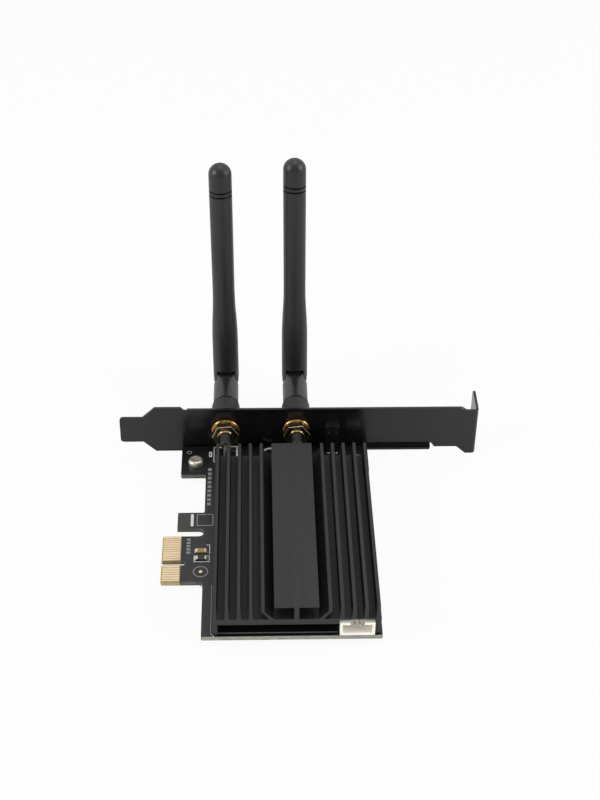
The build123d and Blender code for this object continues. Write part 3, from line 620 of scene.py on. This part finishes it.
# Masked traces that fan out from the contacts to the heatsink
TRACE_WIDTH = 0.2
TRACE_END = 16.6
FIRST_TRACE = 2.0
TRACE_FANS = (
    {"count": 9, "way": 1, "turn": 6.6, "turn_step": 0.45, "shift": 0.0, "shift_step": 0.55},
    {"count": 6, "way": -1, "turn": 7.0, "turn_step": 0.5, "shift": 0.5, "shift_step": 0.6},
)
traces = bmesh.new()
for fan in TRACE_FANS:
    for i in range(fan["count"]):
        start_y = fan["way"] * (FIRST_TRACE + i)
        turn_x = fan["turn"] + fan["turn_step"] * i
        shift = fan["shift"] + fan["shift_step"] * i
        end_y = start_y + fan["way"] * shift
        route = [(MASK_START, start_y), (turn_x, start_y), (turn_x + shift, end_y), (TRACE_END, end_y)]
        stroke(traces, route, TRACE_WIDTH, high=BARE_HEIGHT)
on_card("masked_traces", traces, [trace_mask])


# Solder

def turned(bm, x, y, profile, count=24):
    """A closed form turned about an upright axis, from radius and height pairs that run from foot to tip."""
    rings = []
    for radius, z in profile:
        rings.append([bm.verts.new((px * MM, py * MM, z * MM)) for px, py in circle((x, y), radius, count)])
    upward = profile[-1][1] > profile[0][1]
    for lower, upper in zip(rings, rings[1:]):
        for i in range(count):
            j = (i + 1) % count
            quad = (lower[i], lower[j], upper[j], upper[i])
            bm.faces.new(quad if upward else quad[::-1])
    bm.faces.new(rings[0][::-1] if upward else rings[0])
    bm.faces.new(rings[-1] if upward else rings[-1][::-1])


def solder_cone(bm, x, y, z, foot, tip, height):
    """A hollow-sided cone of solder round a lead; a negative height hangs below z."""
    steps = 6
    profile = []
    for i in range(steps + 1):
        share = i / steps
        profile.append((tip + (foot - tip) * (1 - share) ** 2, z + height * share))
    turned(bm, x, y, profile)


def wedge(bm, face_x, toe_x, near, far, height):
    """A fillet of solder from a chip's end face down to its pad."""
    ends = []
    for y in (near, far):
        corners = ((face_x, 0.0), (toe_x, 0.0), (face_x, height))
        ends.append([bm.verts.new((x * MM, y * MM, z * MM)) for x, z in corners])
    first, last = ends
    bm.faces.new(first)
    bm.faces.new(last[::-1])
    for i in range(3):
        j = (i + 1) % 3
        bm.faces.new((first[j], first[i], last[i], last[j]))


LEAD_SIDE = 0.5
CONE_TIP = 0.36
UPPER_FOOT = 0.75
UPPER_CONE = 0.6
LOWER_FOOT = 0.95
PIN_FOOT = 0.68
LOWER_CONE = 0.8
PIN_COUNT = 6
solder = bmesh.new()
lead_solder = bmesh.new()
lead_low, lead_high = (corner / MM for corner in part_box("lamp_leads"))
lead_y = lead_low.y + LEAD_SIDE / 2
for lead_x in (lead_low.x + LEAD_SIDE / 2, lead_high.x - LEAD_SIDE / 2):
    solder_cone(lead_solder, lead_x, lead_y, 0.0, UPPER_FOOT, CONE_TIP, UPPER_CONE)
    solder_cone(solder, lead_x, lead_y, underside, LOWER_FOOT, CONE_TIP, -LOWER_CONE)
pin_low, pin_high = (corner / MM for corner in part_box("header_pins"))
pin_y = pin_high.y - LEAD_SIDE / 2
for i in range(PIN_COUNT):
    share = i / (PIN_COUNT - 1)
    pin_x = pin_low.x + LEAD_SIDE / 2 + share * (pin_high.x - pin_low.x - LEAD_SIDE)
    solder_cone(solder, pin_x, pin_y, underside, PIN_FOOT, CONE_TIP, -LOWER_CONE)

CHIP_WIDTH = 1.55
FILLET = 0.45
FILLET_HEIGHT = 0.4
chip_places = (
    (chip_high.x / MM - CHIP_LENGTH / 2, chip_low.y / MM + CHIP_WIDTH / 2),
    (chip_low.x / MM + CHIP_LENGTH / 2, chip_high.y / MM - CHIP_WIDTH / 2),
)
for chip_x, chip_y in chip_places:
    for way in (-1, 1):
        face_x = chip_x + way * CHIP_LENGTH / 2
        toe_x = face_x + way * FILLET
        wedge(solder, face_x, toe_x, chip_y - CHIP_WIDTH / 2, chip_y + CHIP_WIDTH / 2, FILLET_HEIGHT)
bmesh.ops.recalc_face_normals(solder, faces=solder.faces)
on_card("solder_joints", solder, [tin])
on_card("lamp_solder", lead_solder, [shaded_tin])


# Floor, light and camera

def strongest(tree, values):
    """The largest of several node outputs."""
    result = values[0]
    for value in values[1:]:
        larger = tree.nodes.new("ShaderNodeMath")
        larger.operation = "MAXIMUM"
        tree.links.new(result, larger.inputs[0])
        tree.links.new(value, larger.inputs[1])
        result = larger.outputs["Value"]
    return result


def times(tree, value, factor):
    """A node output multiplied by a number."""
    product = tree.nodes.new("ShaderNodeMath")
    product.operation = "MULTIPLY"
    product.inputs[1].default_value = factor
    tree.links.new(value, product.inputs[0])
    return product.outputs["Value"]


def rays(tree, *kinds):
    """1 for any of the given kinds of ray, such as Camera or Glossy."""
    path = tree.nodes.new("ShaderNodeLightPath")
    return strongest(tree, [path.outputs[f"Is {kind} Ray"] for kind in kinds])


FLOOR_HALF = 3000
FLOOR_WHITE = 0.9
FLOOR_GLOW = 0.93
FLOOR_MIRRORED = 0.25
WORLD_LIGHT = 0.36
FRONT_LIGHT = 0.4
FRONT_FULL = -0.75
FRONT_NONE = -0.15


def floor_material():
    """A pale floor that keeps a soft shadow, near white to the camera, and clear from underneath."""
    material = bpy.data.materials.new("studio_floor")
    material.use_nodes = True
    tree = material.node_tree
    tree.nodes.clear()
    out = tree.nodes.new("ShaderNodeOutputMaterial")
    paint = tree.nodes.new("ShaderNodeBsdfDiffuse")
    paint.inputs["Color"].default_value = (FLOOR_WHITE, FLOOR_WHITE, FLOOR_WHITE, 1)
    glow = tree.nodes.new("ShaderNodeEmission")
    seen = times(tree, rays(tree, "Camera", "Transmission"), FLOOR_GLOW)
    mirrored = times(tree, rays(tree, "Glossy"), FLOOR_MIRRORED)
    lit = tree.nodes.new("ShaderNodeMixShader")
    tree.links.new(strongest(tree, [seen, mirrored]), lit.inputs["Fac"])
    tree.links.new(paint.outputs["BSDF"], lit.inputs[1])
    tree.links.new(glow.outputs["Emission"], lit.inputs[2])
    clear = tree.nodes.new("ShaderNodeBsdfTransparent")
    facing = tree.nodes.new("ShaderNodeNewGeometry")
    under = tree.nodes.new("ShaderNodeMixShader")
    tree.links.new(facing.outputs["Backfacing"], under.inputs["Fac"])
    tree.links.new(lit.outputs["Shader"], under.inputs[1])
    tree.links.new(clear.outputs["BSDF"], under.inputs[2])
    tree.links.new(under.outputs["Shader"], out.inputs["Surface"])
    return material


floor_mesh = bmesh.new()
corners = [(-1, -1), (1, -1), (1, 1), (-1, 1)]
floor_mesh.faces.new([
    floor_mesh.verts.new((x * FLOOR_HALF * MM, y * FLOOR_HALF * MM, cad_low.z)) for x, y in corners
])
floor = add_object("studio_floor", floor_mesh, [floor_material()])

world = bpy.data.worlds.new("white_studio")
bpy.context.scene.world = world
world.use_nodes = True
studio = world.node_tree
sky = studio.nodes["Background"]
sky.inputs["Color"].default_value = (1, 1, 1, 1)

# The studio is white all round, and dimmer on the side that the front of the card faces
direction = studio.nodes.new("ShaderNodeTexCoord")
axes = studio.nodes.new("ShaderNodeSeparateXYZ")
studio.links.new(direction.outputs["Generated"], axes.inputs["Vector"])
front = studio.nodes.new("ShaderNodeMapRange")
front.inputs["From Min"].default_value = FRONT_FULL
front.inputs["From Max"].default_value = FRONT_NONE
front.inputs["To Min"].default_value = FRONT_LIGHT
front.inputs["To Max"].default_value = 1.0
studio.links.new(axes.outputs["Y"], front.inputs["Value"])
strength = studio.nodes.new("ShaderNodeMapRange")
strength.inputs["To Min"].default_value = WORLD_LIGHT
studio.links.new(rays(studio, "Glossy", "Transmission"), strength.inputs["Value"])
studio.links.new(front.outputs["Result"], strength.inputs["To Max"])
brightness = strongest(studio, [strength.outputs["Result"], rays(studio, "Camera")])
studio.links.new(brightness, sky.inputs["Strength"])

object_centre = (cad_low + cad_high) / 2
# Each lamp: its place from the object, size, watts, and whether glossy surfaces mirror it
lamps = {
    "softbox_left": ((-800, -220, 440), 500, 3.4, True),
    "softbox_right": ((820, -180, 440), 500, 3.4, True),
    "softbox_top": ((50, 250, 950), 600, 1.6, True),
    "fill_front": ((-60, -1000, 320), 600, 4.0, False),
}
for name, (offset, size, watts, mirrored) in lamps.items():
    data = bpy.data.lights.new(name, "AREA")
    data.shape = "DISK"
    data.size = size * MM
    data.energy = watts
    lamp = bpy.data.objects.new(name, data)
    lamp.location = object_centre + Vector(offset) * MM
    lamp.rotation_euler = (object_centre - lamp.location).to_track_quat("-Z", "Y").to_euler()
    lamp.visible_camera = False
    lamp.visible_glossy = mirrored
    bpy.context.scene.collection.objects.link(lamp)

IMAGE_HEIGHT = 800
FOCAL_PIXELS = 1547.27
SENSOR = 36.0
CAMERA_YAW = math.radians(2.059)
CAMERA_DROP = math.radians(38.737)
CAMERA_ROLL = math.radians(0.870)
CAMERA_TARGET = Vector((45.055, 80.213, 0.0))
CAMERA_DISTANCE = 542.555

ahead = Vector((
    math.sin(CAMERA_YAW) * math.cos(CAMERA_DROP),
    math.cos(CAMERA_YAW) * math.cos(CAMERA_DROP),
    -math.sin(CAMERA_DROP),
))
level = Vector((math.cos(CAMERA_YAW), -math.sin(CAMERA_YAW), 0))
upright = level.cross(ahead)
right = math.cos(CAMERA_ROLL) * level + math.sin(CAMERA_ROLL) * upright
up = math.cos(CAMERA_ROLL) * upright - math.sin(CAMERA_ROLL) * level
camera_data = bpy.data.cameras.new("photo_camera")
camera_data.sensor_width = SENSOR
camera_data.lens = FOCAL_PIXELS / IMAGE_HEIGHT * SENSOR
camera = bpy.data.objects.new("photo_camera", camera_data)
camera_turn = Matrix((right, up, -ahead)).transposed().to_4x4()
camera.matrix_world = Matrix.Translation((CAMERA_TARGET - CAMERA_DISTANCE * ahead) * MM) @ camera_turn
bpy.context.scene.collection.objects.link(camera)
bpy.context.scene.camera = camera
bpy.context.scene.view_settings.view_transform = "Standard"
